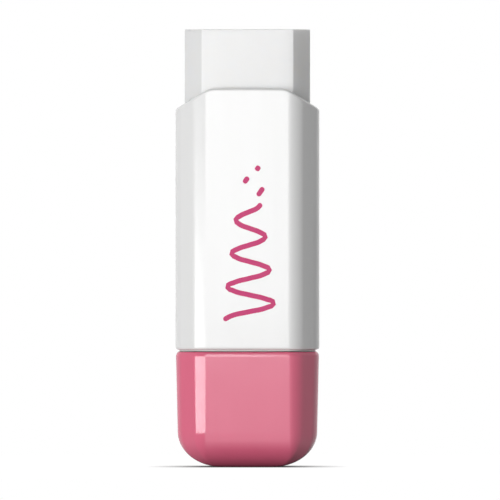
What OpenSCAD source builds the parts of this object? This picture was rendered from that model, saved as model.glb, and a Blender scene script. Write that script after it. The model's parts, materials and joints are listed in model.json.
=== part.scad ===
// Twist-up eraser stick: a square case with cut corners, a rotating base,
// and a drive screw that raises and lowers the eraser block.
// Millimetres. The origin is the centre of the underside of the base, +Z is up
// and -Y is the front. The eraser stands out as it is drawn, partly raised.

/* [Section] */
// Width of the case across opposite faces
case_w = 21; // [19.5:0.25:24]
// Leg of the 45 degree cut on each corner of the case
corner_cut = 3.2; // [2.4:0.1:4]
// Rounding of the long edges where face and corner cut meet
edge_r = 3.1; // [1:0.1:3.4]
// Wall of the case
case_wall = 1.2; // [0.9:0.05:1.4]

/* [Case] */
// Height of the case, from its lower edge to the top of the arched rim
case_h = 38.05; // [36:0.05:46]
// How far the arched rim falls to the two side faces
arch_drop = 2.9; // [1:0.1:4]
// Width of the arch between the points where its slopes start
arch_top_w = 11.2; // [8:0.2:13]
// Rounding between the top of the arch and its slopes
arch_r = 3.5; // [0.5:0.5:6]

/* [Twist base] */
// Height of the base
base_h = 16.85; // [16:0.05:20]
// How far each face of the base lies inside the face of the case above it
base_step = 0.05; // [0:0.05:0.3]
// How much each face leans in from the rim to the rounded foot
base_draft = 0.25; // [0:0.05:0.5]
// Reach of the rounded foot, measured inwards
foot_in = 6.5; // [5:0.1:7]
// Height of the rounded foot
foot_up = 5.2; // [3.5:0.1:6]
// Least rounding of the four corners of the foot
foot_edge_r = 0.8; // [0.4:0.1:2]
// Rounding of the upper rim of the base
rim_r = 0.6; // [0.1:0.05:0.8]
// Running gap between the base and the case
twist_gap = 0.3; // [0.15:0.05:0.6]
// Thickness of the floor of the base
base_floor = 1.8; // [1.4:0.1:2.2]
// Radius of the hollow in the foot
hollow_r = 7.4; // [6.5:0.1:7.6]
// Radius of the boss that holds the tail of the screw
boss_r = 4.2; // [3.6:0.1:5]
// Thickness of the ribs round the boss
rib_t = 1; // [0.8:0.1:1.4]
// Number of ribs round the boss
rib_count = 8; // [4:1:10]
// Height of the ribs above the floor
rib_h = 5; // [3:0.5:6]

/* [Bearing plug] */
// Thickness of the plug plate in the foot of the case
plug_t = 2; // [1.8:0.1:2.6]
// How far the edge of the flange under the case lies inside the face of the case
flange_in = 0.55; // [0.4:0.05:0.8]
// Outer radius of the neck that the base turns on
neck_r = 8.2; // [8:0.05:8.4]
// Wall of the neck
neck_wall = 1.2; // [1:0.1:1.5]
// Length of the neck below the plate
neck_len = 7.6; // [7:0.1:8.2]
// How far the snap bead stands out of the neck
bead_out = 0.35; // [0.2:0.05:0.5]
// Height of the flat crest of the snap bead
bead_crest = 0.4; // [0.2:0.1:0.8]
// Height of the middle of the snap bead above the end of the neck
bead_up = 2.4; // [2:0.1:3]
// Width of the slots that let the neck spring
slot_w = 1.4; // [1:0.1:2]
// Length of the slots that let the neck spring
slot_len = 5; // [4:0.1:5.6]
// Radius of the hub that carries the screw
hub_r = 4.2; // [3.8:0.1:5]
// Length of the hub below the plate
hub_len = 4.5; // [4:0.1:5]
// Width of the nibs that hold the plug in the case
nib_w = 5; // [3:0.5:7]
// How far each nib stands out
nib_out = 0.3; // [0.15:0.05:0.4]
// Height of each nib
nib_h = 0.8; // [0.5:0.1:1]

/* [Drive screw] */
// Radius of the journal that turns in the hub
journal_r = 2.65; // [2.6:0.05:3]
// Radius of the core of the screw
core_r = 1.6; // [1.3:0.05:1.8]
// Outer radius of the thread
thread_r = 2.5; // [2.2:0.05:2.6]
// Rise of the thread in one turn
lead = 4; // [3.2:0.1:5]
// Height of the thread rib at the core
thread_root = 1.9; // [1.5:0.1:2.2]
// Height of the thread rib at its crest
thread_crest = 1; // [0.7:0.1:1.3]
// How far the screw reaches above the plug plate
screw_reach = 24.5; // [22:0.5:26]
// Radius of the thrust collar under the hub
collar_r = 3.7; // [3.3:0.1:4]
// Thickness of the thrust collar
collar_t = 1.6; // [1.2:0.1:2]
// Width across the flats of the six-sided tail
tail_af = 4; // [3.4:0.1:4.6]
// Length of the six-sided tail
tail_len = 6; // [4:0.1:7]

/* [Carriage] */
// Thickness of the plate that the eraser stands on
plate_t = 1.8; // [1.4:0.1:2.4]
// Length of the nut, from the underside of the plate
nut_len = 4; // [3.2:0.1:5]
// Radius of the spigot in the eraser
spigot_r = 3.8; // [3.6:0.05:3.85]
// Height of the spigot above the plate
spigot_h = 8; // [5:0.5:12]
// Height of each gripping ring on the spigot
grip_h = 1.2; // [0.8:0.1:1.6]
// Number of gripping rings
grip_count = 3; // [1:1:3]

/* [Eraser] */
// Length of the eraser block
eraser_len = 34; // [32:0.1:35]
// How far the eraser stands out above the arch
eraser_out = 8.7; // [6:0.1:12]
// Leg of the cut corners of the eraser block
eraser_cut = 2.45; // [2:0.05:2.8]
// Radius of the hole for the spigot and the screw
hole_r = 4; // [3.95:0.05:4.6]

/* [Clearances] */
// Clearance round the eraser in the case, on each side
eraser_clear = 0.15; // [0.1:0.01:0.25]
// Clearance round the carriage in the case, on each side
carriage_clear = 0.1; // [0.05:0.01:0.2]
// Clearance of turning pieces, on the radius
turn_clear = 0.05; // [0.03:0.01:0.1]
// Clearance of pieces that are pushed together, on each side
push_clear = 0.02; // [0.01:0.01:0.04]
// Clearance round the nibs and the snap bead
snap_clear = 0.05; // [0.03:0.01:0.1]
// Clearance between the flange of the plug and the rim of the base
rub_clear = 0.1; // [0.05:0.01:0.12]
// Clearance between the thrust collar and the hub
thrust_clear = 0.1; // [0.05:0.01:0.15]
// Clearance of the thread in the nut
thread_clear = 0.15; // [0.12:0.01:0.2]
// Clearance between end faces that stop a movement
stop_clear = 0.2; // [0.1:0.05:0.4]
// Room above the tip of the screw in the eraser, when the eraser is down
tip_room = 0.6; // [0.3:0.1:1]

/* [Hidden] */

// Facets of the rounding of each long edge
edge_steps = 5;
// Facets of a rounding in a profile, of the foot of the base and of its rim
arc_steps = 6;
foot_steps = 9;
rim_steps = 3;
// Straight pieces in one turn of the thread
turn_steps = 16;
// Smallest flat left between two roundings of a section
least_flat = 0.06;
// How far a cut runs past the face it opens
past = 1;
// How far forms of one piece reach into each other where they join
overlap = 0.5;
// A wall moved in by t takes this times t off the leg of its corner cut
cut_shrink = 2 - sqrt(2);

// Heights, from the table up
case_z = base_h + twist_gap;
case_top = case_z + case_h;
tip_z = case_top + eraser_out;
plug_top = case_z + plug_t;
neck_end = case_z - neck_len;
hub_end = case_z - hub_len;
collar_top = hub_end - thrust_clear;
boss_top = collar_top - collar_t;
shoulder_z = neck_end - stop_clear;
bead_z = neck_end + bead_up;
screw_top = plug_top + screw_reach;
thread_z = plug_top + thread_root / 2 + stop_clear;
eraser_z = tip_z - eraser_len;
plate_z = eraser_z - plate_t;
plate_low = plug_top + stop_clear;
// How far the eraser can go down, until its plate meets the plug
travel_down = plate_z - plate_low;
hole_top = screw_top + travel_down + tip_room;
flange_z = base_h + rub_clear;

// Widths and the legs of their corner cuts
base_w = case_w - 2 * base_step;
bore_w = case_w - 2 * case_wall;
bore_cut = corner_cut - case_wall * cut_shrink;
eraser_w = bore_w - 2 * eraser_clear;
plate_w = bore_w - 2 * carriage_clear;
plate_cut = bore_cut - carriage_clear * cut_shrink;
plug_w = bore_w - 2 * push_clear;
plug_cut = bore_cut - push_clear * cut_shrink;
// Rounding of the long edges inside the case, and of what slides in it
inner_edge_r = 0.6;
eraser_edge_r = 0.2;

// Radii that follow from others
bearing_r = neck_r + turn_clear;
groove_r = bearing_r + bead_out + snap_clear;
nut_bore_r = core_r + thread_clear;
spigot_bore_r = thread_r + 2 * thread_clear;

// Points of a square with cut and rounded corners: width w, cut leg c, rounding r
function cut_square(w, c, r) =
    let (
        // The square is drawn smaller by r, and each of its eight corners gets an arc
        h = w / 2 - r,
        leg = max(c - r * cut_shrink, least_flat),
        near = h - leg
    )
    [
        for (quarter = [0 : 3])
            for (side = [0 : 1])
                for (i = [0 : edge_steps])
                    let (
                        a = 45 * side + 45 * i / edge_steps,
                        x = (side == 0 ? h : near) + r * cos(a),
                        y = (side == 0 ? near : h) + r * sin(a),
                        turn = 90 * quarter
                    )
                    [x * cos(turn) - y * sin(turn), x * sin(turn) + y * cos(turn)]
    ];

// Straight bar with that section
module cut_bar(w, c, r, z, h) {
    translate([0, 0, z])
        linear_extrude(h)
            polygon(cut_square(w, c, r));
}

// A skin through rings of equal count, closed at both ends
module skin(rings) {
    count = len(rings[0]);
    last = len(rings) - 1;
    polyhedron(
        points = [for (ring = rings) each ring],
        faces = concat(
            [[for (i = [0 : count - 1]) i]],
            [
                for (k = [0 : last - 1])
                    for (i = [0 : count - 1])
                        let (
                            j = (i + 1) % count,
                            a = k * count + i,
                            b = k * count + j
                        )
                        each [[a, a + count, b], [b, a + count, b + count]]
            ],
            [[for (i = [count - 1 : -1 : 0]) last * count + i]]
        )
    );
}

// Left-hand thread rib from z1 to z2, with its foot at radius r1 and its crest at r2
module thread_rib(z1, z2, r1, r2, foot, crest) {
    steps = ceil((z2 - z1) / lead * turn_steps);
    rings = [
        for (i = [0 : steps])
            let (
                z = z1 + (z2 - z1) * i / steps,
                a = -360 * (z - thread_z) / lead
            )
            [
                for (p = [[r1, -foot / 2], [r2, -crest / 2], [r2, crest / 2], [r1, foot / 2]])
                    [p[0] * cos(a), p[0] * sin(a), z + p[1]]
            ]
    ];
    skin(rings);
}

// Outline of the case seen from the front, with the arched rim
module arch_outline() {
    half = arch_top_w / 2;
    fall = atan(arch_drop / (case_w / 2 - half));
    // The arc touches the flat top and the slope at the same distance from their corner
    tangent = arch_r * tan(fall / 2);
    side = [
        for (i = [0 : arc_steps])
            let (a = 90 - fall + fall * i / arc_steps)
            [half - tangent + arch_r * cos(a), case_top - arch_r + arch_r * sin(a)]
    ];
    edge = case_w / 2 + past;
    edge_z = case_top - arch_drop - past * tan(fall);
    polygon(concat(
        [[edge, case_z - past], [edge, edge_z]],
        side,
        [for (i = [arc_steps : -1 : 0]) [-side[i][0], side[i][1]]],
        [[-edge, edge_z], [-edge, case_z - past]]
    ));
}

// Places its children on each of the four faces, facing +X
module on_four_faces() {
    for (a = [0 : 90 : 270])
        rotate([0, 0, a])
            children();
}

// Snap nib, or the pocket for it when grown by a clearance
module nib(grow) {
    foot = plug_w / 2 - nib_out;
    crest = plug_w / 2 + nib_out + grow;
    mid = case_z + plug_t / 2;
    half = nib_h / 2 + grow;
    translate([0, nib_w / 2 + grow, 0])
        rotate([90, 0, 0])
            linear_extrude(nib_w + 2 * grow)
                polygon([
                    [foot, mid - half],
                    [plug_w / 2, mid - half],
                    [crest, mid],
                    [plug_w / 2, mid + half],
                    [foot, mid + half]
                ]);
}

module case() {
    color("white")
        difference() {
            intersection() {
                cut_bar(case_w, corner_cut, edge_r, case_z, case_h);
                translate([0, case_w / 2 + past, 0])
                    rotate([90, 0, 0])
                        linear_extrude(case_w + 2 * past)
                            arch_outline();
            }
            cut_bar(bore_w, bore_cut, inner_edge_r, case_z - past, case_h + 2 * past);
            on_four_faces()
                nib(snap_clear);
        }
}

module bearing_plug() {
    color("gainsboro")
        difference() {
            union() {
                cut_bar(plug_w, plug_cut, inner_edge_r, case_z, plug_t);
                on_four_faces()
                    nib(0);
                // Flange that the case stands on and the rim of the base rubs against
                cut_bar(
                    case_w - 2 * flange_in,
                    corner_cut - flange_in * cut_shrink,
                    edge_r - flange_in,
                    flange_z,
                    case_z - flange_z
                );
                // Neck, with the snap bead near its end
                translate([0, 0, neck_end])
                    difference() {
                        cylinder(r = neck_r, h = neck_len + plug_t / 2, $fn = 96);
                        translate([0, 0, -past])
                            cylinder(r = neck_r - neck_wall, h = neck_len + past, $fn = 96);
                    }
                rotate_extrude($fn = 96)
                    polygon([
                        [neck_r - neck_wall / 2, bead_z - bead_crest / 2 - bead_out],
                        [neck_r, bead_z - bead_crest / 2 - bead_out],
                        [neck_r + bead_out, bead_z - bead_crest / 2],
                        [neck_r + bead_out, bead_z + bead_crest / 2],
                        [neck_r, bead_z + bead_crest / 2 + bead_out],
                        [neck_r - neck_wall / 2, bead_z + bead_crest / 2 + bead_out]
                    ]);
                translate([0, 0, hub_end])
                    cylinder(r = hub_r, h = hub_len + plug_t / 2, $fn = 64);
            }
            // Bore for the journal of the screw
            translate([0, 0, hub_end - past])
                cylinder(r = journal_r + turn_clear, h = hub_len + plug_t + 2 * past, $fn = 64);
            // Slots that split the end of the neck into four springy fingers
            for (a = [45, 135])
                rotate([0, 0, a])
                    translate([-neck_r - past, -slot_w / 2, neck_end - past])
                        difference() {
                            cube([2 * (neck_r + past), slot_w, slot_len + past]);
                            translate([neck_r + past, slot_w / 2, -past])
                                cylinder(r = hub_r + overlap, h = slot_len + 4 * past, $fn = 64);
                        }
        }
}

// Outer form of the base: a leaning wall on a rounded foot, with a rounded rim
module base_form() {
    foot_w = base_w / 2 - base_draft;
    foot = [
        for (i = [0 : foot_steps])
            let (a = 90 * i / foot_steps)
            [foot_w - foot_in + foot_in * sin(a), foot_up - foot_up * cos(a)]
    ];
    rim = [
        for (i = [0 : rim_steps])
            let (a = 90 * i / rim_steps)
            [base_w / 2 - rim_r + rim_r * cos(a), base_h - rim_r + rim_r * sin(a)]
    ];
    // Each point of the profile gives the half width of one ring and its height.
    // All faces move in alike, so the corner cuts and their roundings shrink downwards.
    skin([
        for (p = concat(foot, rim))
            let (
                inset = case_w / 2 - p[0],
                leg = corner_cut - inset * cut_shrink,
                round_r = max(edge_r - inset, foot_edge_r)
            )
            [
                for (q = cut_square(2 * p[0], leg, round_r))
                    [q[0], q[1], p[1]]
            ]
    ]);
}

module twist_base() {
    // The rounded floor of the hollow runs from its wall to just inside the boss
    round_r = hollow_r - boss_r + overlap;
    color("palevioletred")
        difference() {
            union() {
                difference() {
                    base_form();
                    // Bearing for the neck of the plug, with the groove for its bead
                    translate([0, 0, shoulder_z])
                        cylinder(r = bearing_r, h = base_h, $fn = 96);
                    rotate_extrude($fn = 96)
                        polygon([
                            [bearing_r - overlap, bead_z - bead_crest - bead_out],
                            [bearing_r, bead_z - bead_crest - bead_out],
                            [groove_r, bead_z - bead_crest],
                            [groove_r, bead_z + bead_crest],
                            [bearing_r, bead_z + bead_crest + bead_out],
                            [bearing_r - overlap, bead_z + bead_crest + bead_out]
                        ]);
                    // Hollow of the foot
                    rotate_extrude($fn = 96)
                        polygon(concat(
                            [[0, shoulder_z + past], [0, base_floor]],
                            [
                                for (i = [0 : arc_steps])
                                    let (a = 90 * i / arc_steps)
                                    [
                                        hollow_r - round_r + round_r * sin(a),
                                        base_floor + round_r - round_r * cos(a)
                                    ]
                            ],
                            [[hollow_r, shoulder_z + past]]
                        ));
                }
                translate([0, 0, base_floor / 2])
                    cylinder(r = boss_r, h = boss_top - base_floor / 2, $fn = 64);
                for (i = [0 : rib_count - 1])
                    rotate([0, 0, 360 * i / rib_count])
                        translate([boss_r - overlap, -rib_t / 2, base_floor / 2])
                            cube([hollow_r - boss_r + overlap, rib_t, rib_h + base_floor / 2]);
            }
            // Six-sided socket for the tail of the screw
            translate([0, 0, boss_top - tail_len - stop_clear])
                cylinder(
                    r = (tail_af / 2 + push_clear) / cos(30),
                    h = tail_len + stop_clear + past,
                    $fn = 6
                );
        }
}

module lead_screw() {
    color("whitesmoke")
        union() {
            translate([0, 0, boss_top - tail_len])
                cylinder(r = tail_af / 2 / cos(30), h = tail_len + collar_t / 2, $fn = 6);
            translate([0, 0, boss_top])
                cylinder(r = collar_r, h = collar_t, $fn = 64);
            translate([0, 0, boss_top + collar_t / 2])
                cylinder(r = journal_r, h = plug_top - boss_top - collar_t / 2, $fn = 64);
            translate([0, 0, collar_top])
                cylinder(r = core_r, h = screw_top - collar_top, $fn = 48);
            thread_rib(
                thread_z,
                screw_top - thread_root / 2,
                core_r - thread_clear,
                thread_r,
                thread_root,
                thread_crest
            );
        }
}

module carriage() {
    nut_top = plate_z + nut_len;
    spigot_top = eraser_z + spigot_h;
    grip_pitch = (spigot_h - grip_h) / (grip_count + 1);
    color("gainsboro")
        difference() {
            union() {
                cut_bar(plate_w, plate_cut, inner_edge_r, plate_z, plate_t);
                translate([0, 0, plate_z + plate_t / 2])
                    cylinder(r = spigot_r, h = spigot_top - plate_z - plate_t / 2, $fn = 64);
                // Gripping rings, cut like the barbs of a hose tail
                for (i = [1 : grip_count])
                    translate([0, 0, eraser_z + i * grip_pitch])
                        rotate_extrude($fn = 64)
                            polygon([
                                [core_r + thread_clear + past, 0],
                                [hole_r - push_clear, 0],
                                [spigot_r - push_clear, grip_h],
                                [core_r + thread_clear + past, grip_h]
                            ]);
            }
            translate([0, 0, plate_z - past])
                cylinder(r = nut_bore_r, h = nut_len + 2 * past, $fn = 48);
            translate([0, 0, nut_top])
                cylinder(r = spigot_bore_r, h = spigot_top - nut_top + past, $fn = 48);
            thread_rib(
                plate_z - lead / 2,
                nut_top + lead / 2,
                core_r - thread_clear,
                thread_r + thread_clear,
                thread_root + 2 * thread_clear,
                thread_crest + 2 * thread_clear
            );
        }
}

module eraser() {
    color("ghostwhite")
        difference() {
            cut_bar(eraser_w, eraser_cut, eraser_edge_r, eraser_z, eraser_len);
            translate([0, 0, eraser_z - past])
                cylinder(r = hole_r, h = hole_top - eraser_z + past, $fn = 64);
        }
}

case();
bearing_plug();
twist_base();
lead_screw();
carriage();
eraser();
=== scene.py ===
"""A twist-up eraser stick: its visible pieces, their finishes, and a studio of floor, lights and camera."""
import json
import logging
import math
from collections.abc import Callable, Iterator
from contextlib import contextmanager
from dataclasses import dataclass, field
from enum import Enum

import bmesh
import bpy
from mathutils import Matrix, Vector


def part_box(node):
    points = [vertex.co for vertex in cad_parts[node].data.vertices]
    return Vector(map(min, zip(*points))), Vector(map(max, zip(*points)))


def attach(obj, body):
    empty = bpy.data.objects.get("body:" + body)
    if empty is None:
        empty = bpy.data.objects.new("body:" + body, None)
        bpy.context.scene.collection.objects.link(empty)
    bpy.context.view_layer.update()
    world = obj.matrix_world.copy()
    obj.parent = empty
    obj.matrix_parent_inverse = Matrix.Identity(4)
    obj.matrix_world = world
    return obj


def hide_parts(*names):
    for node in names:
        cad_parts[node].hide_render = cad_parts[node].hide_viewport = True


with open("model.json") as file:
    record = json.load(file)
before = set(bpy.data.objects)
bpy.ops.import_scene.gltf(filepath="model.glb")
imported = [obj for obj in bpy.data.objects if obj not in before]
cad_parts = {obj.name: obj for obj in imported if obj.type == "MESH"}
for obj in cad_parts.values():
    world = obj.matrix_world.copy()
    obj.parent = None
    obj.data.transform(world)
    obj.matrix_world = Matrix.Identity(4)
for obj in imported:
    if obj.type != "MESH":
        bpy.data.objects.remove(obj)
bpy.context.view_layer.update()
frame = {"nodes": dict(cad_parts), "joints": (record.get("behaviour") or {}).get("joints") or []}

LOG = logging.getLogger("eraser_stick")
# One millimetre, in metres
MM = 0.001
# A 45 degree turn between two faces is rounded with this many flats
EDGE_STEPS = 8
# A rounding of radius r on such a turn starts r times this before the edge
EDGE_REACH = math.tan(math.radians(22.5))
# A wall moved in by t takes this times t off the leg of its corner cut
CUT_SHRINK = 2 - math.sqrt(2)
# How far a cutting tool runs past the face that it opens
PAST = 1.0
# Points closer than this, in metres, are the same point
WELD = 1e-7
# An edge or a normal is upright if this share of its length runs along the stick
UPRIGHT = 0.999
# A face looks to an end if its normal points there by more than the first number, and
# sideways if it does by less than the second
END_LEAN, SIDE_LEAN = 0.5, 0.1


class Body(Enum):
    """The bodies that pieces ride on."""

    CASE = "case"
    BASE = "base"
    ERASER = "eraser"


class Join(Enum):
    """What a second solid does to a piece."""

    CUT = "DIFFERENCE"
    FUSE = "UNION"


class Reach(Enum):
    """How a box of light acts: whether it lights matt surfaces, and whether it shows in reflections."""

    ALL = (True, True)
    MIRRORED = (False, True)
    MATT = (True, False)


class Side(Enum):
    """Which skin of a hollow piece a face belongs to."""

    OUTER = 1
    INNER = -1


def box_mm(node: str) -> tuple[Vector, Vector]:
    """Gives where a node of the frame lies.

    Args:
        node: name of the node.

    Returns:
        Its lowest and highest corner, in millimetres.
    """
    low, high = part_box(node)
    return low / MM, high / MM


def travel_mm(joint: str) -> tuple[float, float]:
    """Gives how far a sliding joint goes from rest.

    Args:
        joint: name of the joint.

    Returns:
        Its lowest and highest position, in millimetres.
    """
    limits = next(entry["range_m"] for entry in frame["joints"] if entry["name"] == joint)
    return limits[0] / MM, limits[1] / MM


def deselect_all() -> None:
    """Leaves no object selected, since operators act on all that is."""
    bpy.ops.object.select_all(action="DESELECT")


def is_upright(edge: bmesh.types.BMEdge) -> bool:
    """Tells whether an edge runs along the stick.

    Args:
        edge: the edge to look at.

    Returns:
        True if it does.
    """
    along = edge.verts[0].co - edge.verts[1].co
    return abs(along.z) > UPRIGHT * along.length


def edge_between(edge: bmesh.types.BMEdge, end_sign: int, side: Side) -> bool:
    """Tells whether an edge joins an end face to a side face.

    Args:
        edge: the edge to look at.
        end_sign: 1 for the upper end and -1 for the lower one.
        side: the skin that the side face must belong to.

    Returns:
        True if one face looks to that end and the other one sideways, out of that skin.
    """
    ends = [face for face in edge.link_faces if face.normal.z * end_sign > END_LEAN]
    walls = [face for face in edge.link_faces if abs(face.normal.z) < SIDE_LEAN]
    if len(ends) != 1 or len(walls) != 1:
        return False
    middle = walls[0].calc_center_median()
    outward = walls[0].normal.x * middle.x + walls[0].normal.y * middle.y
    return outward * side.value > 0


class Workpiece:
    """One mesh that starts as a primitive and is shaped with operators. All sizes are in millimetres."""

    def __init__(self, obj: bpy.types.Object, name: str) -> None:
        """Takes over a new object and bakes its place into its mesh.

        Args:
            obj: the object, which is the active one.
            name: name of the piece.
        """
        self.obj = obj
        obj.name = obj.data.name = name
        self.activate()
        bpy.ops.object.transform_apply(location=True, rotation=True, scale=True)

    @classmethod
    def block(cls, name: str, low: Vector, high: Vector) -> "Workpiece":
        """Adds a box.

        Args:
            name: name of the new piece.
            low: lowest corner.
            high: highest corner.

        Returns:
            The box as a workpiece.
        """
        deselect_all()
        bpy.ops.mesh.primitive_cube_add(size=1, location=(low + high) * MM / 2, scale=(high - low) * MM)
        return cls(bpy.context.object, name)

    @classmethod
    def rod(cls, name: str, radius: float, low_z: float, high_z: float, sides: int = 96) -> "Workpiece":
        """Adds an upright rod on the stick's axis.

        Args:
            name: name of the new piece.
            radius: radius of the rod, to its corners.
            low_z: height of its lower end.
            high_z: height of its upper end.
            sides: number of flats round it.

        Returns:
            The rod as a workpiece.
        """
        deselect_all()
        bpy.ops.mesh.primitive_cylinder_add(
            vertices=sides,
            radius=radius * MM,
            depth=(high_z - low_z) * MM,
            location=(0, 0, (low_z + high_z) * MM / 2),
        )
        return cls(bpy.context.object, name)

    def activate(self) -> None:
        """Makes this the only selected object."""
        deselect_all()
        self.obj.select_set(True)
        bpy.context.view_layer.objects.active = self.obj

    @contextmanager
    def editing(self) -> Iterator[None]:
        """Holds edit mode on this piece alone, with edges selectable."""
        self.activate()
        bpy.ops.object.mode_set(mode="EDIT")
        bpy.ops.mesh.select_mode(type="EDGE")
        yield
        bpy.ops.object.mode_set(mode="OBJECT")

    def pick_edges(self, wanted: Callable[[bmesh.types.BMEdge], bool]) -> None:
        """Selects edges in edit mode.

        Args:
            wanted: says of an edge whether it is to be selected.
        """
        mesh = bmesh.from_edit_mesh(self.obj.data)
        mesh.normal_update()
        picked = 0
        for edge in mesh.edges:
            edge.select_set(False)
        for edge in mesh.edges:
            if wanted(edge):
                edge.select_set(True)
                picked += 1
        if not picked:
            raise ValueError(f"{self.obj.name}: no edge fits the test")
        bmesh.update_edit_mesh(self.obj.data)

    def pick_verts(self, wanted: Callable[[bmesh.types.BMVert], bool]) -> None:
        """Selects points in edit mode, with only points selectable.

        Args:
            wanted: says of a point whether it is to be selected.
        """
        mesh = bmesh.from_edit_mesh(self.obj.data)
        for vert in mesh.verts:
            vert.select_set(wanted(vert))
        mesh.select_flush_mode()
        bmesh.update_edit_mesh(self.obj.data)

    def bevel_picked(self, reach: float, steps: int) -> None:
        """Bevels the selected edges.

        Args:
            reach: how far from the edge the bevel starts.
            steps: number of flats, where 1 is a plain cut.
        """
        bpy.ops.mesh.bevel(
            offset_type="OFFSET",
            offset=reach * MM,
            segments=steps,
            profile=0.5,
            affect="EDGES",
            clamp_overlap=False,
        )

    def turned_copy(self, angle: float) -> "Workpiece":
        """Copies the piece round the stick's axis.

        Args:
            angle: turn of the copy, in degrees.

        Returns:
            The copy, with a mesh of its own.
        """
        self.activate()
        bpy.ops.object.duplicate(linked=False)
        copy = bpy.context.object
        copy.rotation_euler.z = math.radians(angle)
        return Workpiece(copy, f"{self.obj.name}_copy")

    def absorb(self, others: list["Workpiece"]) -> None:
        """Joins other workpieces into this object, with their meshes as they are.

        Args:
            others: the pieces that are joined, and are gone afterwards.
        """
        self.activate()
        for other in others:
            other.obj.select_set(True)
        bpy.ops.object.join()

    def combine(self, job: Join, tool: "Workpiece") -> None:
        """Cuts the piece with another solid, or fuses the two, and uses that solid up.

        Args:
            job: what the other solid does.
            tool: the other solid.
        """
        self.activate()
        change = self.obj.modifiers.new(job.name, "BOOLEAN")
        change.operation = job.value
        change.solver = "EXACT"
        change.object = tool.obj
        bpy.ops.object.modifier_apply(modifier=change.name)
        bpy.data.objects.remove(tool.obj)

    def smooth(self, sharp_angle: float = 40) -> None:
        """Shades roundings smoothly and keeps large faces flat.

        Args:
            sharp_angle: edges that turn more than this, in degrees, stay sharp.
        """
        self.activate()
        bpy.ops.object.shade_smooth_by_angle(angle=math.radians(sharp_angle))
        weighted = self.obj.modifiers.new("flat_faces", "WEIGHTED_NORMAL")
        weighted.keep_sharp = True
        bpy.ops.object.modifier_apply(modifier=weighted.name)


def cut_bar(
    name: str, width: float, cut: float, edge_r: float, low_z: float, high_z: float, steps: int = EDGE_STEPS
) -> Workpiece:
    """Makes a square bar along the stick, with cut corners and rounded long edges.

    Args:
        name: name of the bar.
        width: width across opposite faces.
        cut: leg of the 45 degree cut on each corner.
        edge_r: radius of the rounding between face and cut.
        low_z: height of its lower end.
        high_z: height of its upper end.
        steps: number of flats in each rounding.

    Returns:
        The bar.
    """
    half = width / 2
    bar = Workpiece.block(name, Vector((-half, -half, low_z)), Vector((half, half, high_z)))
    with bar.editing():
        bar.pick_edges(is_upright)
        bar.bevel_picked(cut, steps=1)
        bar.pick_edges(is_upright)
        bar.bevel_picked(edge_r * EDGE_REACH, steps)
    return bar


def cut_outline(width: float, cut: float, edge_r: float, height: float) -> Workpiece:
    """Makes one flat outline of such a bar, as a section for a loft.

    Args:
        width: width across opposite sides.
        cut: leg of the 45 degree cut on each corner.
        edge_r: radius of the rounding between side and cut.
        height: height that the outline lies at.

    Returns:
        The outline, which holds edges and no face.
    """
    deselect_all()
    bpy.ops.mesh.primitive_plane_add(size=width * MM, location=(0, 0, height * MM))
    outline = Workpiece(bpy.context.object, "outline")
    with outline.editing():
        for reach, steps in ((cut, 1), (edge_r * EDGE_REACH, EDGE_STEPS)):
            bpy.ops.mesh.select_all(action="SELECT")
            bpy.ops.mesh.bevel(
                offset=reach * MM, segments=steps, profile=0.5, affect="VERTICES", clamp_overlap=False
            )
        bpy.ops.mesh.select_all(action="SELECT")
        bpy.ops.mesh.delete(type="ONLY_FACE")
    return outline


def loft(name: str, outlines: list[Workpiece]) -> Workpiece:
    """Bridges outlines into one closed solid.

    Args:
        name: name of the solid.
        outlines: the sections, from one end to the other, all with as many points.

    Returns:
        The solid.
    """
    solid = outlines[0]
    solid.absorb(outlines[1:])
    solid.obj.name = solid.obj.data.name = name
    with solid.editing():
        bpy.ops.mesh.select_all(action="SELECT")
        bpy.ops.mesh.bridge_edge_loops(type="SINGLE")
        bpy.ops.mesh.select_all(action="DESELECT")
        for highest in (False, True):
            mesh = bmesh.from_edit_mesh(solid.obj.data)
            end_z = (max if highest else min)(vert.co.z for vert in mesh.verts)
            solid.pick_edges(
                lambda edge: edge.is_boundary and all(abs(v.co.z - end_z) < WELD for v in edge.verts)
            )
            bpy.ops.mesh.edge_face_add()
        bpy.ops.mesh.select_all(action="SELECT")
        bpy.ops.mesh.normals_make_consistent(inside=False)
    return solid


def linear(colour: str) -> tuple[float, float, float, float]:
    """Turns an sRGB hex value into a linear colour.

    Args:
        colour: the value, such as #FFFFFF.

    Returns:
        Red, green, blue and full alpha.
    """
    channels = [int(colour[i : i + 2], 16) / 255 for i in (1, 3, 5)]
    return (*[c / 12.92 if c <= 0.04045 else ((c + 0.055) / 1.055) ** 2.4 for c in channels], 1.0)


def add_node(
    tree: bpy.types.NodeTree,
    kind: str,
    settings: dict[str, object] | None = None,
    inputs: dict[str | int, object] | None = None,
) -> bpy.types.Node:
    """Adds a shader node with its settings and links.

    Args:
        tree: the node tree it goes into.
        kind: type of the node.
        settings: attributes of the node.
        inputs: for each input, by name or number, a value or the output that is linked to it.

    Returns:
        The node.
    """
    made = tree.nodes.new(kind)
    for key, value in (settings or {}).items():
        setattr(made, key, value)
    for key, value in (inputs or {}).items():
        if isinstance(value, bpy.types.NodeSocket):
            tree.links.new(value, made.inputs[key])
        else:
            made.inputs[key].default_value = value
    return made


# Numbers of the colour inputs and of the colour output on a Mix node
MIX_FACTOR, MIX_A, MIX_B, MIX_OUT = 0, 6, 7, 2
# Most of a noise pattern lies between these two values
NOISE_LOW, NOISE_HIGH = 0.3, 0.7


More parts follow.
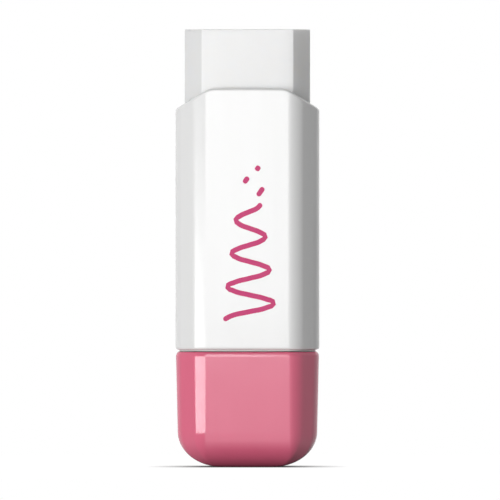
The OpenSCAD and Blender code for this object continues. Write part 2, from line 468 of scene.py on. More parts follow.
@dataclass(frozen=True)
class Finish:
    """What every finish has: a name for the material, its colour and its gloss."""

    name: str
    # Main colour of the surface
    colour: str
    # Colour that the main one drifts to
    drift_colour: str
    # Least and greatest roughness
    roughness: tuple[float, float]
    ior: float

    def material(self) -> bpy.types.Material:
        """Makes the material, unless it is there already.

        Returns:
            The material.
        """
        made = bpy.data.materials.get(self.name)
        if made is None:
            made = bpy.data.materials.new(self.name)
            made.use_nodes = True
            tree = made.node_tree
            tree.nodes.clear()
            place = add_node(tree, "ShaderNodeTexCoord").outputs["Object"]
            shader = self.shade(tree, place)
            add_node(tree, "ShaderNodeOutputMaterial", inputs={"Surface": shader.outputs[0]})
        return made

    def shade(self, tree: bpy.types.NodeTree, place: bpy.types.NodeSocket) -> bpy.types.Node:
        """Adds the nodes of the surface.

        Args:
            tree: the material's node tree.
            place: output that gives the point on the object.

        Returns:
            The shader node.
        """
        raise NotImplementedError

    def streaks(
        self, tree: bpy.types.NodeTree, place: bpy.types.NodeSocket, across_mm: float, along_mm: float
    ) -> bpy.types.NodeSocket:
        """Adds a soft pattern drawn out along the stick.

        Args:
            tree: the material's node tree.
            place: output that gives the point on the object.
            across_mm: width of a streak.
            along_mm: length of a streak.

        Returns:
            The output with the pattern, from 0 to 1.
        """
        scale = (1 / (across_mm * MM), 1 / (across_mm * MM), 1 / (along_mm * MM))
        drawn = add_node(tree, "ShaderNodeMapping", inputs={"Vector": place, "Scale": scale})
        noise = add_node(
            tree,
            "ShaderNodeTexNoise",
            inputs={"Vector": drawn.outputs[0], "Scale": 1.0, "Detail": 3.0, "Roughness": 0.5},
        )
        return noise.outputs[0]

    def grain(
        self, tree: bpy.types.NodeTree, place: bpy.types.NodeSocket, size_mm: float, detail: float
    ) -> bpy.types.NodeSocket:
        """Adds an even pattern of soft spots.

        Args:
            tree: the material's node tree.
            place: output that gives the point on the object.
            size_mm: size of one spot.
            detail: how many finer layers it has.

        Returns:
            The output with the pattern, from 0 to 1.
        """
        noise = add_node(
            tree,
            "ShaderNodeTexNoise",
            inputs={"Vector": place, "Scale": 1 / (size_mm * MM), "Detail": detail, "Roughness": 0.55},
        )
        return noise.outputs[0]

    def gloss(self, tree: bpy.types.NodeTree, pattern: bpy.types.NodeSocket) -> bpy.types.NodeSocket:
        """Spreads a pattern over the range of the roughness.

        Args:
            tree: the material's node tree.
            pattern: output with the pattern.

        Returns:
            The output with the roughness.
        """
        low, high = self.roughness
        slope = (high - low) / (NOISE_HIGH - NOISE_LOW)
        spread = add_node(
            tree,
            "ShaderNodeMath",
            {"operation": "MULTIPLY_ADD"},
            {0: pattern, 1: slope, 2: low - NOISE_LOW * slope},
        )
        return spread.outputs[0]


@dataclass(frozen=True)
class MouldedPlastic(Finish):
    """Injection-moulded plastic, with faint streaks along the flow of the melt and a slight orange peel."""

    # Width and length of a flow streak
    streak_mm: tuple[float, float] = (2.5, 30.0)
    # Size and depth of the orange peel. The real one is about half as wide, and is drawn coarser so
    # that it shows
    peel_mm: float = 1.1
    peel_depth_mm: float = 0.002
    # Share of the light that goes into the plastic, and how far it spreads there
    scatter: float = 0.0
    scatter_mm: float = 0.4

    def shade(self, tree: bpy.types.NodeTree, place: bpy.types.NodeSocket) -> bpy.types.Node:
        """Adds streaks to the colour, spots to the gloss and orange peel to the surface.

        Args:
            tree: the material's node tree.
            place: output that gives the point on the object.

        Returns:
            The shader node.
        """
        tone = add_node(
            tree,
            "ShaderNodeMix",
            {"data_type": "RGBA"},
            {
                MIX_FACTOR: self.streaks(tree, place, *self.streak_mm),
                MIX_A: linear(self.colour),
                MIX_B: linear(self.drift_colour),
            },
        )
        peel = add_node(
            tree,
            "ShaderNodeBump",
            inputs={
                "Strength": 1.0,
                "Distance": self.peel_depth_mm * MM,
                "Height": self.grain(tree, place, self.peel_mm, 1.0),
            },
        )
        return add_node(
            tree,
            "ShaderNodeBsdfPrincipled",
            inputs={
                "Base Color": tone.outputs[MIX_OUT],
                "Roughness": self.gloss(tree, self.grain(tree, place, 2 * self.peel_mm, 2.0)),
                "IOR": self.ior,
                "Subsurface Weight": self.scatter,
                "Subsurface Radius": (1.0, 1.0, 1.0),
                "Subsurface Scale": self.scatter_mm * MM,
                "Normal": peel.outputs[0],
            },
        )


@dataclass(frozen=True)
class EraserVinyl(Finish):
    """Plasticised vinyl, cured in a mould and cut to length: slightly translucent, with a fine grain."""

    # Size and depth of the grain. The real one is about 0.1 mm, and is drawn coarser so that it shows
    grain_mm: float = 0.3
    grain_depth_mm: float = 0.006
    # Size of the clouds in its tone, and of the spots in its sheen
    cloud_mm: float = 6.0
    sheen_mm: float = 1.5
    # Share of the light that goes into the vinyl, how far it spreads there, and how much of that
    # way red, green and blue go
    scatter: float = 0.8
    scatter_mm: float = 4.0
    scatter_rgb: tuple[float, float, float] = (1.0, 0.97, 0.93)
    # Spacing and depth of the drag lines of the blade, on a cut end. Real ones lie a few tenths of
    # a millimetre apart, and are drawn wider so that they show
    blade_mm: float = 0.9
    blade_depth_mm: float = 0.0

    def shade(self, tree: bpy.types.NodeTree, place: bpy.types.NodeSocket) -> bpy.types.Node:
        """Adds a cloudy tone, the grain of the skin and the lines of the blade.

        Args:
            tree: the material's node tree.
            place: output that gives the point on the object.

        Returns:
            The shader node.
        """
        tone = add_node(
            tree,
            "ShaderNodeMix",
            {"data_type": "RGBA"},
            {
                MIX_FACTOR: self.grain(tree, place, self.cloud_mm, 3.0),
                MIX_A: linear(self.colour),
                MIX_B: linear(self.drift_colour),
            },
        )
        blade = add_node(
            tree,
            "ShaderNodeTexWave",
            {"bands_direction": "X"},
            {"Vector": place, "Scale": 1 / (self.blade_mm * MM), "Distortion": 1.5, "Detail": 2.0},
        )
        lines = add_node(
            tree,
            "ShaderNodeBump",
            inputs={
                "Strength": 1.0 if self.blade_depth_mm else 0.0,
                "Distance": self.blade_depth_mm * MM,
                "Height": blade.outputs[1],
            },
        )
        skin = add_node(
            tree,
            "ShaderNodeBump",
            inputs={
                "Strength": 1.0,
                "Distance": self.grain_depth_mm * MM,
                "Height": self.grain(tree, place, self.grain_mm, 3.0),
                "Normal": lines.outputs[0],
            },
        )
        return add_node(
            tree,
            "ShaderNodeBsdfPrincipled",
            inputs={
                "Base Color": tone.outputs[MIX_OUT],
                "Roughness": self.gloss(tree, self.grain(tree, place, self.sheen_mm, 2.0)),
                "IOR": self.ior,
                "Subsurface Weight": self.scatter,
                "Subsurface Radius": self.scatter_rgb,
                "Subsurface Scale": self.scatter_mm * MM,
                "Normal": skin.outputs[0],
            },
        )


@dataclass(frozen=True)
class PadPrint(Finish):
    """Pad-printed ink: a thin film, thicker in places, with the pull of the pad as fine pits."""

    # Size and depth of the pits. Real ones are under 0.1 mm, and are drawn coarser so that they show
    pit_mm: float = 0.25
    pit_depth_mm: float = 0.004
    # Size of the spots where the film is thinner, and of those in its sheen
    thin_mm: float = 1.2
    sheen_mm: float = 0.6

    def shade(self, tree: bpy.types.NodeTree, place: bpy.types.NodeSocket) -> bpy.types.Node:
        """Adds uneven ink and pits.

        Args:
            tree: the material's node tree.
            place: output that gives the point on the object.

        Returns:
            The shader node.
        """
        tone = add_node(
            tree,
            "ShaderNodeMix",
            {"data_type": "RGBA"},
            {
                MIX_FACTOR: self.grain(tree, place, self.thin_mm, 2.0),
                MIX_A: linear(self.colour),
                MIX_B: linear(self.drift_colour),
            },
        )
        pits = add_node(
            tree,
            "ShaderNodeBump",
            inputs={
                "Strength": 1.0,
                "Distance": self.pit_depth_mm * MM,
                "Height": self.grain(tree, place, self.pit_mm, 2.0),
            },
        )
        return add_node(
            tree,
            "ShaderNodeBsdfPrincipled",
            inputs={
                "Base Color": tone.outputs[MIX_OUT],
                "Roughness": self.gloss(tree, self.grain(tree, place, self.sheen_mm, 1.0)),
                "IOR": self.ior,
                "Normal": pits.outputs[0],
            },
        )


# White high-impact styrene from an etched and polished mould: an even satin gloss
CASE_STYRENE = MouldedPlastic("white_moulded_styrene", "#FAFAFA", "#F7F7F6", (0.15, 0.19), 1.55)
# Rose-pink styrene from a polished mould: clear reflections with soft edges
BASE_STYRENE = MouldedPlastic(
    "rose_pink_polished_styrene", "#EF698B", "#EC6587", (0.13, 0.18), 1.57, peel_depth_mm=0.0015
)
# White vinyl fresh from its wrapper: a fine matt grain that keeps a soft, slightly greasy sheen
VINYL_SKIN = EraserVinyl("white_vinyl_skin", "#FAFAF9", "#F6F6F4", (0.21, 0.25), 1.48)
# The end that the blade has cut: finer grain, with the lines that it drags
VINYL_CUT = EraserVinyl(
    "blade_cut_white_vinyl",
    "#FAFAF9",
    "#F5F5F3",
    (0.6, 0.75),
    1.48,
    grain_depth_mm=0.004,
    blade_depth_mm=0.008,
)
# Deep pink ink in one pass: matt, and a little lighter where the film is thin
PRINT_INK = PadPrint("pink_pad_print_ink", "#D23274", "#D84680", (0.5, 0.6), 1.45)
# Acetal as moulded, waxy, in a grey that is painted shade: dark enough to draw the gap under the case
GAP_SHADE_ACETAL = MouldedPlastic("acetal_painted_gap_shade", "#C2C9C5", "#BBC2BE", (0.34, 0.44), 1.48)
# Undyed acetal as moulded: milky and waxy
NATURAL_ACETAL = MouldedPlastic(
    "natural_moulded_acetal", "#ECEBE6", "#E6E5DF", (0.32, 0.42), 1.48, scatter=0.4, scatter_mm=1.0
)
# Undyed polypropylene as moulded: milky, matte and a little greyer
NATURAL_POLYPROPYLENE = MouldedPlastic(
    "natural_moulded_polypropylene", "#E4E4E1", "#DDDDD9", (0.4, 0.5), 1.49, scatter=0.4, scatter_mm=1.2
)


def place_piece(piece: Workpiece, body: Body, node: str) -> None:
    """Hands a finished piece to the frame in place of a node.

    Args:
        piece: the finished piece.
        body: the body it rides on.
        node: the node that it stands for.
    """
    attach(piece.obj, body.value)
    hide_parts(node)
    LOG.info("%s: %d faces, stands for %s", piece.obj.name, len(piece.obj.data.polygons), node)


@dataclass
class CaseShell:
    """The white case: a tube with cut corners and an arched rim. Sizes in millimetres."""

    corner_cut: float = 3.2
    edge_r: float = 3.1
    wall: float = 1.2
    inner_edge_r: float = 0.6
    # The rim falls by this much to the two side faces, from the ends of its flat top
    arch_drop: float = 2.9
    arch_top_w: float = 11.2
    arch_r: float = 3.5
    # Roundings of the outer and inner edge of the rim, and of the foot
    rim_r: float = 0.35
    lip_r: float = 0.15
    foot_r: float = 0.4
    # Pockets for the nibs of the bearing plug: width, depth, half height, height above the foot
    pocket: tuple[float, float, float, float] = (5.1, 0.35, 0.45, 1.0)
    low: Vector = field(default_factory=lambda: box_mm("case")[0])
    high: Vector = field(default_factory=lambda: box_mm("case")[1])

    @property
    def width(self) -> float:
        """Width across opposite faces."""
        return self.high.x - self.low.x

    @property
    def bore_w(self) -> float:
        """Width of the bore across opposite faces."""
        return self.width - 2 * self.wall

    @property
    def arch(self) -> tuple[float, float, float]:
        """Gives the arch's lines.

        Returns:
            Distance from the middle at which it starts to bend, that at which it runs straight
            again, and its slope from there on.
        """
        half = self.arch_top_w / 2
        slope = self.arch_drop / (self.width / 2 - half)
        fall = math.atan(slope)
        bend_start = half - self.arch_r * math.tan(fall / 2)
        return bend_start, bend_start + self.arch_r * math.sin(fall), slope

    def rim_drop(self, across: float) -> float:
        """Gives how far the rim lies below its highest line.

        Args:
            across: distance from the middle of the front face.

        Returns:
            The drop at that place.
        """
        bend_start, bend_end, slope = self.arch
        into_bend = min(max(across - bend_start, 0), bend_end - bend_start)
        drop = self.arch_r - math.sqrt(self.arch_r**2 - into_bend**2)
        return drop + max(across - bend_end, 0) * slope

    def outer_form(self) -> Workpiece:
        """Makes the solid bar, with the outer edges of both ends rounded.

        Returns:
            The bar, with its rim still level and without its bore.
        """
        form = cut_bar("case_shell", self.width, self.corner_cut, self.edge_r, self.low.z, self.high.z)
        with form.editing():
            form.pick_edges(lambda edge: edge_between(edge, 1, Side.OUTER))
            form.bevel_picked(self.rim_r, steps=4)
            form.pick_edges(lambda edge: edge_between(edge, -1, Side.OUTER))
            form.bevel_picked(self.foot_r, steps=3)
        return form

    def arch_rim(self, shell: Workpiece) -> None:
        """Lets the straight rim fall along the arch, from lines drawn where it bends.

        Args:
            shell: the case with a level rim.
        """
        bend_start, bend_end, _ = self.arch
        turn = math.asin((bend_end - bend_start) / self.arch_r)
        with shell.editing():
            for step in range(EDGE_STEPS + 1):
                line_x = bend_start + self.arch_r * math.sin(turn * step / EDGE_STEPS)
                for side in (-1, 1):
                    bpy.ops.mesh.select_all(action="SELECT")
                    bpy.ops.mesh.bisect(plane_co=(side * line_x * MM, 0, 0), plane_no=(1, 0, 0))
            bpy.ops.mesh.select_mode(type="VERT")
            rim_z = (self.high.z - self.rim_r) * MM - WELD
            mesh = bmesh.from_edit_mesh(shell.obj.data)
            places = {round(abs(v.co.x) / MM, 4) for v in mesh.verts if v.co.z > rim_z}
            drops = [(across, self.rim_drop(across)) for across in sorted(places)]
            for across, drop in drops:
                if drop > 0:
                    shell.pick_verts(
                        lambda vert: vert.co.z > rim_z and abs(abs(vert.co.x) - across * MM) < WELD
                    )
                    bpy.ops.transform.translate(value=(0, 0, -drop * MM))

    def cut_pockets(self, shell: Workpiece) -> None:
        """Cuts the pockets for the nibs into the four inner faces.

        Args:
            shell: the case with its bore.
        """
        width, depth, half_height, up = self.pocket
        mid_z = self.low.z + up
        first = Workpiece.block(
            "pocket",
            Vector((self.bore_w / 2 - depth, -width / 2, mid_z - half_height)),
            Vector((self.bore_w / 2 + depth, width / 2, mid_z + half_height)),
        )
        with first.editing():
            # Both edges of the outer face meet at its middle, which makes a ridge
            outer_x = (self.bore_w / 2 + depth) * MM
            first.pick_edges(lambda edge: all(abs(v.co.x - outer_x) < WELD for v in edge.verts))
            bpy.ops.transform.resize(value=(1, 1, 0))
            bpy.ops.mesh.remove_doubles(threshold=WELD)
        copies = [first.turned_copy(angle) for angle in (90, 180, 270)]
        first.absorb(copies)
        shell.combine(Join.CUT, first)

    def build(self) -> None:
        """Makes, dresses and places the case."""
        shell = self.outer_form()
        bore = cut_bar(
            "bore",
            self.bore_w,
            self.corner_cut - self.wall * CUT_SHRINK,
            self.inner_edge_r,
            self.low.z - PAST,
            self.high.z + PAST,
            steps=4,
        )
        shell.combine(Join.CUT, bore)
        with shell.editing():
            shell.pick_edges(lambda edge: edge_between(edge, 1, Side.INNER))
            shell.bevel_picked(self.lip_r, steps=2)
        self.cut_pockets(shell)
        self.arch_rim(shell)
        shell.smooth()
        shell.obj.data.materials.append(CASE_STYRENE.material())
        place_piece(shell, Body.CASE, "case")


@dataclass
class BaseShell:
    """The pink base that the fingers turn: a lofted cup on a rounded foot. Sizes in millimetres."""

    case: CaseShell
    # Lean of each face from the rim to the foot
    draft: float = 0.25
    # Reach and height of the rounded foot
    foot_in: float = 6.5
    foot_up: float = 5.2
    foot_steps: int = 18
    # Least rounding of the long edges as they run into the foot
    least_edge_r: float = 0.8
    # Least flat between two roundings of an outline
    least_flat: float = 0.06
    # Reach and height of the rounded rim
    rim_in: float = 0.45
    rim_up: float = 0.72
    rim_steps: int = 8
    # Bearing for the neck of the plug, and the groove for its bead
    bearing_r: float = 8.25
    groove_r: float = 8.65
    groove_h: float = 1.5
    # The groove's slopes end this far outside the bearing, so that the two cuts don't coincide
    groove_step: float = 0.01
    bead_up: float = 2.4
    shoulder_gap: float = 0.2
    # Hollow below the bearing, with its boss, ribs and six-sided socket
    hollow_r: float = 7.4
    floor: float = 1.8
    boss_r: float = 4.2
    rib_t: float = 1.0
    rib_h: float = 5.0
    rib_root: float = 0.3
    rib_count: int = 8
    socket_across: float = 4.04
    tail_len: float = 6.0
    low: Vector = field(default_factory=lambda: box_mm("twist_base")[0])
    high: Vector = field(default_factory=lambda: box_mm("twist_base")[1])

    def profile(self) -> list[tuple[float, float]]:
        """Gives the side view of the base.

        Returns:
            The half width and the height of each outline, from the foot to the rim.
        """
        top_half = self.high.x
        foot_half = top_half - self.draft
        points = []
        for i in range(self.foot_steps + 1):
            a = math.pi / 2 * i / self.foot_steps
            half = foot_half - self.foot_in + self.foot_in * math.sin(a)
            points.append((half, self.foot_up - self.foot_up * math.cos(a)))
        for i in range(self.rim_steps + 1):
            a = math.pi / 2 * i / self.rim_steps
            half = top_half - self.rim_in + self.rim_in * math.cos(a)
            points.append((half, self.high.z - self.rim_up + self.rim_up * math.sin(a)))
        return points

    def outer_form(self) -> Workpiece:
        """Lofts the solid form. All faces move in alike, so cuts and roundings shrink to the foot.

        Returns:
            The form, still solid inside.
        """
        outlines = []
        for half, height in self.profile():
            inset = self.case.width / 2 - half
            edge_r = max(self.case.edge_r - inset, self.least_edge_r)
            cut = max(self.case.corner_cut - inset * CUT_SHRINK, self.least_flat + edge_r * CUT_SHRINK)
            outlines.append(cut_outline(2 * half, cut, edge_r, height))
        return loft("base_shell", outlines)

    def hollow_out(self, shell: Workpiece) -> None:
        """Cuts the bearing, the groove of the snap bead and the hollow.

        Args:
            shell: the solid form of the base.
        """
        neck_end = box_mm("bearing_plug")[0].z
        shoulder_z = neck_end - self.shoulder_gap
        shell.combine(Join.CUT, Workpiece.rod("bearing", self.bearing_r, shoulder_z, self.high.z + PAST))
        bead_z = neck_end + self.bead_up
        groove = Workpiece.rod(
            "groove", self.groove_r, bead_z - self.groove_h / 2, bead_z + self.groove_h / 2
        )
        with groove.editing():
            groove.pick_edges(lambda edge: abs(edge.verts[0].co.z - edge.verts[1].co.z) < WELD)
            groove.bevel_picked(self.groove_r - self.bearing_r - self.groove_step, steps=1)
        shell.combine(Join.CUT, groove)
        hollow = Workpiece.rod("hollow", self.hollow_r, self.floor, shoulder_z + PAST)
        with hollow.editing():
            low_z = self.floor * MM
            hollow.pick_edges(lambda edge: all(abs(v.co.z - low_z) < WELD for v in edge.verts))
            hollow.bevel_picked(self.hollow_r - self.boss_r, steps=6)
        shell.combine(Join.CUT, hollow)

    def add_boss(self, shell: Workpiece) -> None:
        """Adds the boss with its ribs, and cuts the socket for the tail of the screw.

        Args:
            shell: the base with its hollow.
        """
        tail_z = box_mm("lead_screw")[0].z
        boss_top = tail_z + self.tail_len
        boss = Workpiece.rod("boss", self.boss_r, self.floor / 2, boss_top)
        shell.combine(Join.FUSE, boss)
        first = Workpiece.block(
            "rib",
            Vector((self.boss_r - self.rib_t / 2, -self.rib_t / 2, self.floor - self.rib_root)),
            Vector((self.hollow_r + self.rib_t / 4, self.rib_t / 2, self.floor + self.rib_h)),
        )
        first.absorb([first.turned_copy(360 * i / self.rib_count) for i in range(1, self.rib_count)])
        shell.combine(Join.FUSE, first)
        corner_r = self.socket_across / 2 / math.cos(math.radians(30))
        socket = Workpiece.rod("socket", corner_r, tail_z - self.shoulder_gap, boss_top + PAST, sides=6)
        shell.combine(Join.CUT, socket)

    def build(self) -> None:
        """Makes, dresses and places the base."""
        shell = self.outer_form()
        self.hollow_out(shell)
        self.add_boss(shell)
        shell.smooth()
        shell.obj.data.materials.append(BASE_STYRENE.material())
        place_piece(shell, Body.BASE, "twist_base")


@dataclass
class EraserBlock:
    """The vinyl block, with cut corners and the hole for spigot and screw. Sizes in millimetres."""

    corner_cut: float = 2.45
    edge_r: float = 0.2
    end_r: float = 0.12
    hole_r: float = 4.0
    # Room above the tip of the screw when the eraser is all the way down
    screw_room: float = 0.6
    low: Vector = field(default_factory=lambda: box_mm("eraser")[0])
    high: Vector = field(default_factory=lambda: box_mm("eraser")[1])

    def build(self) -> None:
        """Makes, dresses and places the eraser."""
        block = cut_bar(
            "eraser_block",
            self.high.x - self.low.x,
            self.corner_cut,
            self.edge_r,
            self.low.z,
            self.high.z,
            steps=3,
        )
        with block.editing():
            block.pick_edges(lambda edge: edge_between(edge, 1, Side.OUTER))
            block.bevel_picked(self.end_r, steps=3)
        hole_top = box_mm("lead_screw")[1].z - travel_mm("eraser_feed")[0] + self.screw_room
        hole = Workpiece.rod("hole", self.hole_r, self.low.z - PAST, hole_top, sides=64)
        block.combine(Join.CUT, hole)
        block.smooth()
        block.obj.data.materials.append(VINYL_SKIN.material())
        block.obj.data.materials.append(VINYL_CUT.material())
        for face in block.obj.data.polygons:
            if face.normal.z > UPRIGHT and face.center.z > (self.high.z - self.end_r) * MM:
                face.material_index = 1
        place_piece(block, Body.ERASER, "eraser")


@dataclass
class FrontPrint:
    """A plain printed wave on the front of the case, with crumbs at its end. Sizes in millimetres."""

    case: CaseShell
    stroke: float = 0.74
    film: float = 0.03
    # Reach of a stroke's round end and length of its cells, as shares of its width
    end_share: float = 0.49
    cell_share: float = 0.55
    end_steps: int = 6
    # Straight pieces of the path between two of its points
    path_steps: int = 16
    # The wave runs up the face between these heights, off centre by this much
    low_z: float = 21.5
    high_z: float = 38.5
    centre_x: float = 0.3
    # Half width of the wave at its lower end and at its upper end, and its number of swings
    low_swing: float = 3.8
    high_swing: float = 1.7
    swings: float = 3.5
    points_per_swing: int = 8
    # Lean of the crumbs in degrees, and the place across, height and length of each
    crumb_lean: float = 35.0
    crumbs: tuple[tuple[float, float, float], ...] = ((1.9, 40.2, 1.5), (-0.2, 41.9, 1.1), (1.5, 43.6, 0.8))

    def stroke_along(self, name: str, points: list[tuple[float, float]]) -> Workpiece:
        """Lays a stroke with round ends along a path on the front face.

        Args:
            name: name of the piece.
            points: points of the path, across and up.

        Returns:
            The stroke, as a flat strip.
        """
        deselect_all()
        bpy.ops.curve.primitive_bezier_curve_add()
        path = bpy.context.object
        path.data.dimensions = "2D"
        path.data.resolution_u = self.path_steps
        spline = path.data.splines[0]
        spline.bezier_points.add(len(points) - 2)
        for bend, point in zip(spline.bezier_points, points):
            bend.co = (point[0] * MM, point[1] * MM, 0)
            bend.handle_left_type = bend.handle_right_type = "AUTO"
        length = spline.calc_length() / MM
        # A strip cut across into cells a little longer than its round ends
        cells = max(3, round(length / (self.cell_share * self.stroke)))
        deselect_all()
        bpy.ops.mesh.primitive_grid_add(
            x_subdivisions=cells, y_subdivisions=1, size=1, location=(length * MM / 2, 0, 0)
        )
        strip_object = bpy.context.object
        strip_object.scale = (length * MM, self.stroke * MM, 1)
        strip = Workpiece(strip_object, name)
        with strip.editing():
            bpy.ops.mesh.select_mode(type="VERT")
            strip.pick_verts(lambda vert: len(vert.link_edges) == 2)
            bpy.ops.mesh.bevel(
                offset_type="OFFSET",
                offset=self.end_share * self.stroke * MM,
                segments=self.end_steps,
                affect="VERTICES",
            )
        follow = strip.obj.modifiers.new("follow", "CURVE")
        follow.object = path
        follow.deform_axis = "POS_X"
        bpy.ops.object.modifier_apply(modifier=follow.name)
        bpy.data.objects.remove(path)
        return strip

    def wave(self) -> list[tuple[float, float]]:
        """Lays out the wave, whose swing shrinks as it rises.

        Returns:
            Its points, across and up.
        """
        count = round(self.swings * self.points_per_swing)
        points = []
        for i in range(count + 1):
            share = i / count
            swing = self.low_swing + (self.high_swing - self.low_swing) * share
            x = self.centre_x - swing * math.cos(2 * math.pi * self.swings * share)
            points.append((x, self.low_z + (self.high_z - self.low_z) * share))
        return points

    def build(self) -> None:
        """Makes, dresses and places the print."""
        wave = self.stroke_along("front_print", self.wave())
        dashes = []
        for x, z, length in self.crumbs:
            across = length * math.sin(math.radians(self.crumb_lean)) / 2
            up = length * math.cos(math.radians(self.crumb_lean)) / 2
            dashes.append(self.stroke_along("crumb", [(x - across, z - up), (x + across, z + up)]))
        wave.absorb(dashes)
        wave.obj.rotation_euler.x = math.pi / 2
        wave.obj.location.y = self.case.low.y * MM
        print_piece = Workpiece(wave.obj, "front_print")
        film = print_piece.obj.modifiers.new("film", "SOLIDIFY")
        film.thickness = self.film * MM
        film.offset = 1
        bpy.ops.object.modifier_apply(modifier=film.name)
        print_piece.obj.data.materials.append(PRINT_INK.material())
        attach(print_piece.obj, Body.CASE.value)
        LOG.info("%s: %d faces", print_piece.obj.name, len(print_piece.obj.data.polygons))


def dress_inner_pieces() -> None:
    """Gives the moulded pieces inside the case their finishes."""
    finishes = {
        # The plug's grey is painted shade that draws the gap under the case
        "bearing_plug": GAP_SHADE_ACETAL,
        "lead_screw": NATURAL_ACETAL,
        "carriage": NATURAL_POLYPROPYLENE,
    }
    for node, finish in finishes.items():
        for slot in frame["nodes"][node].material_slots:
            slot.material = finish.material()
        LOG.info("%s: %s", node, finish.name)


@dataclass(frozen=True)
class SoftBox:
    """An even panel of light that looks at the stick. Azimuth 0 is the camera's side, plus is right."""

    name: str
    # Azimuth of its left and of its right edge, in degrees
    azimuth: tuple[float, float]
    # Height of its lower and upper edge above the floor, in millimetres
    height: tuple[float, float]
    distance_mm: float
    # Brightness of its face, where a white wall is 1
    radiance: float
    # Height that it is tipped to look at
    aim_z: float | None = None
    reach: Reach = Reach.ALL

    def build(self) -> None:
        """Adds the lamp."""
        middle = math.radians(sum(self.azimuth) / 2)
        half_angle = math.radians(self.azimuth[1] - self.azimuth[0]) / 2
        mid_z = sum(self.height) / 2
        place = Vector((math.sin(middle), -math.cos(middle), 0)) * self.distance_mm
        place.z = mid_z
        aim = Vector((0, 0, mid_z if self.aim_z is None else self.aim_z))
        tip = abs((aim - place).normalized().z)
        tall = (self.height[1] - self.height[0]) / math.sqrt(1 - tip * tip)
        wide = 2 * self.distance_mm * math.tan(half_angle)
        lamp = bpy.data.lights.new(self.name, "AREA")
        lamp.shape = "RECTANGLE"
        lamp.size = wide * MM
        lamp.size_y = tall * MM
        lamp.energy = self.radiance * math.pi * lamp.size * lamp.size_y
        obj = bpy.data.objects.new(self.name, lamp)
        obj.location = place * MM
        obj.rotation_euler = (aim - place).to_track_quat("-Z", "Y").to_euler()
        obj.visible_camera = False
        obj.visible_diffuse, obj.visible_glossy = self.reach.value
        bpy.context.scene.collection.objects.link(obj)


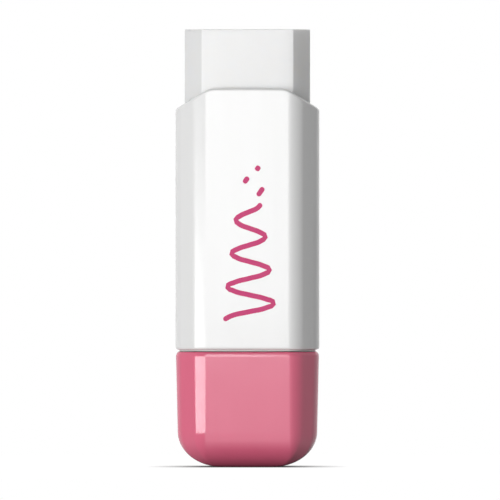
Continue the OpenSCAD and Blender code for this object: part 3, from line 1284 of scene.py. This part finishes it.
@dataclass
class Studio:
    """A pale floor, a white backdrop, soft panels of light and a level camera. Sizes in millimetres."""

    # Axis of the camera, to the right of the stick and above the floor
    camera_x: float = 0.37
    camera_z: float = 31.7
    camera_y: float = -2440
    lens: float = 1200
    floor_size: float = 260
    # Light that the backdrop sends into the shadows
    ambient: float = 0.01
    # White of the floor's own look, and the share of the lamps' light and shadows in it
    floor_glow: float = 0.98
    lit_share: float = 0.05
    # How near a thing must be to darken the floor with painted contact shadow, and how finely that is sampled
    contact_mm: float = 6.0
    contact_samples: int = 8
    # Brightness of the floor as a source of light
    floor_grey: float = 0.06
    # How fast the painted shade darkens the clear floor under the stick, for what passes through it
    sheet_gamma: float = 1.4
    boxes: tuple[SoftBox, ...] = (
        # A box whose reflection is the bright band on the left edge of the base. The box below it
        # adds to its light and isn't mirrored, or the case's left side would be bleached from above
        SoftBox("key_box", (-62, -8), (-60, 32), 500, 8.5, 10),
        SoftBox("low_key_box", (-62, -8), (-100, -60), 500, 8.5, 10, Reach.MATT),
        # A tall strip above the camera, seen as the thin light along the lip of the base
        SoftBox("lip_box", (-5, 0.5), (80, 320), 420, 7.0, 30),
        # A near box that fills the front of the case and of the eraser
        SoftBox("front_box", (-7.5, 4.5), (9, 112), 300, 4.5),
        # Three far boxes that reach below the clear floor, so that the base reflects them down to its
        # foot. Each is larger than the last, so that their light fades over the rounded edges
        SoftBox("far_box", (-9, 6), (-1200, 200), 1400, 0.5, reach=Reach.MIRRORED),
        SoftBox("wide_far_box", (-9, 14), (-2300, 200), 1440, 0.5, reach=Reach.MIRRORED),
        SoftBox("widest_far_box", (-9, 30), (-4200, 200), 1480, 0.5, reach=Reach.MIRRORED),
        # Two boxes behind the stick and one over it, so that its right side, back and top aren't dark
        SoftBox("back_left_box", (-147, -127), (0, 400), 400, 4.0, reach=Reach.MATT),
        SoftBox("back_right_box", (127, 147), (0, 400), 400, 6.5, reach=Reach.MATT),
        SoftBox("top_box", (129, 231), (419, 481), 100, 3.0, 60, Reach.MATT),
    )

    def add_backdrop(self) -> None:
        """Makes the world white to look at and dim as a light."""
        world = bpy.data.worlds.new("white_backdrop")
        bpy.context.scene.world = world
        world.use_nodes = True
        tree = world.node_tree
        tree.nodes.clear()
        seen = self.seen_directly(tree)
        white = add_node(tree, "ShaderNodeBackground", inputs={"Color": (1, 1, 1, 1), "Strength": 1.0})
        dim = add_node(tree, "ShaderNodeBackground", inputs={"Color": (1, 1, 1, 1), "Strength": self.ambient})
        mixed = add_node(
            tree, "ShaderNodeMixShader", inputs={0: seen, 1: dim.outputs[0], 2: white.outputs[0]}
        )
        add_node(tree, "ShaderNodeOutputWorld", inputs={"Surface": mixed.outputs[0]})

    def seen_directly(self, tree: bpy.types.NodeTree) -> bpy.types.NodeSocket:
        """Adds the test for rays from the camera, from a mirror or through glass.

        Args:
            tree: the node tree.

        Returns:
            The output that is 1 for such a ray and 0 for all others.
        """
        path = add_node(tree, "ShaderNodeLightPath").outputs
        first = add_node(
            tree,
            "ShaderNodeMath",
            {"operation": "MAXIMUM"},
            {0: path["Is Camera Ray"], 1: path["Is Glossy Ray"]},
        )
        both = add_node(
            tree,
            "ShaderNodeMath",
            {"operation": "MAXIMUM"},
            {0: first.outputs[0], 1: path["Is Transmission Ray"]},
        )
        return both.outputs[0]

    def add_floor(self) -> None:
        """Adds the floor: white with the stick's shadow and a painted contact shadow to look at, and clear
        for reflections and lamps.
        """
        deselect_all()
        bpy.ops.mesh.primitive_plane_add(size=self.floor_size * MM)
        floor = bpy.context.object
        floor.name = "floor"
        paint = bpy.data.materials.new("matt_white_paper")
        paint.use_nodes = True
        tree = paint.node_tree
        tree.nodes.clear()
        # Ambient occlusion that paints a contact shadow on the floor near the stick
        near = add_node(
            tree,
            "ShaderNodeAmbientOcclusion",
            {"samples": self.contact_samples},
            {"Distance": self.contact_mm * MM},
        )
        glow = add_node(
            tree,
            "ShaderNodeEmission",
            inputs={"Color": near.outputs["Color"], "Strength": self.floor_glow},
        )
        # What the camera sees: a white with painted contact shadow that darkens it near the stick, and that
        # takes the stick's cast shadow
        lit = (self.lit_share, self.lit_share, self.lit_share, 1)
        shadowed = add_node(tree, "ShaderNodeBsdfDiffuse", inputs={"Color": lit})
        look = add_node(tree, "ShaderNodeAddShader", inputs={0: glow.outputs[0], 1: shadowed.outputs[0]})
        # What lights the stick from below: a dim grey
        grey_tone = (self.floor_grey, self.floor_grey, self.floor_grey, 1)
        grey = add_node(tree, "ShaderNodeBsdfDiffuse", inputs={"Color": grey_tone})
        # What mirror and shadow rays pass through: a clear sheet with painted shade, darker near the stick
        tint = add_node(
            tree, "ShaderNodeGamma", inputs={"Color": near.outputs["Color"], "Gamma": self.sheet_gamma}
        )
        clear = add_node(tree, "ShaderNodeBsdfTransparent", inputs={"Color": tint.outputs[0]})
        path = add_node(tree, "ShaderNodeLightPath").outputs
        solid = add_node(
            tree,
            "ShaderNodeMixShader",
            inputs={0: self.seen_directly(tree), 1: grey.outputs[0], 2: look.outputs[0]},
        )
        passing = add_node(
            tree,
            "ShaderNodeMath",
            {"operation": "MAXIMUM"},
            {0: path["Is Shadow Ray"], 1: path["Is Glossy Ray"]},
        )
        surface = add_node(
            tree,
            "ShaderNodeMixShader",
            inputs={0: passing.outputs[0], 1: solid.outputs[0], 2: clear.outputs[0]},
        )
        add_node(tree, "ShaderNodeOutputMaterial", inputs={"Surface": surface.outputs[0]})
        floor.data.materials.append(paint)

    def add_camera(self) -> None:
        """Adds the camera, level and far away, as the photograph was taken."""
        data = bpy.data.cameras.new("camera")
        data.lens = self.lens
        camera = bpy.data.objects.new("camera", data)
        camera.location = Vector((self.camera_x, self.camera_y, self.camera_z)) * MM
        camera.rotation_euler = (math.pi / 2, 0, 0)
        bpy.context.scene.collection.objects.link(camera)
        bpy.context.scene.camera = camera

    def build(self) -> None:
        """Sets up the studio."""
        self.add_backdrop()
        self.add_floor()
        for box in self.boxes:
            box.build()
        self.add_camera()
        bpy.context.scene.view_settings.view_transform = "Standard"


def main() -> None:
    """Builds the stick and its studio."""
    logging.basicConfig(level=logging.INFO, format="%(message)s")
    case = CaseShell()
    case.build()
    BaseShell(case).build()
    EraserBlock().build()
    FrontPrint(case).build()
    dress_inner_pieces()
    Studio().build()


if __name__ == "__main__":
    main()
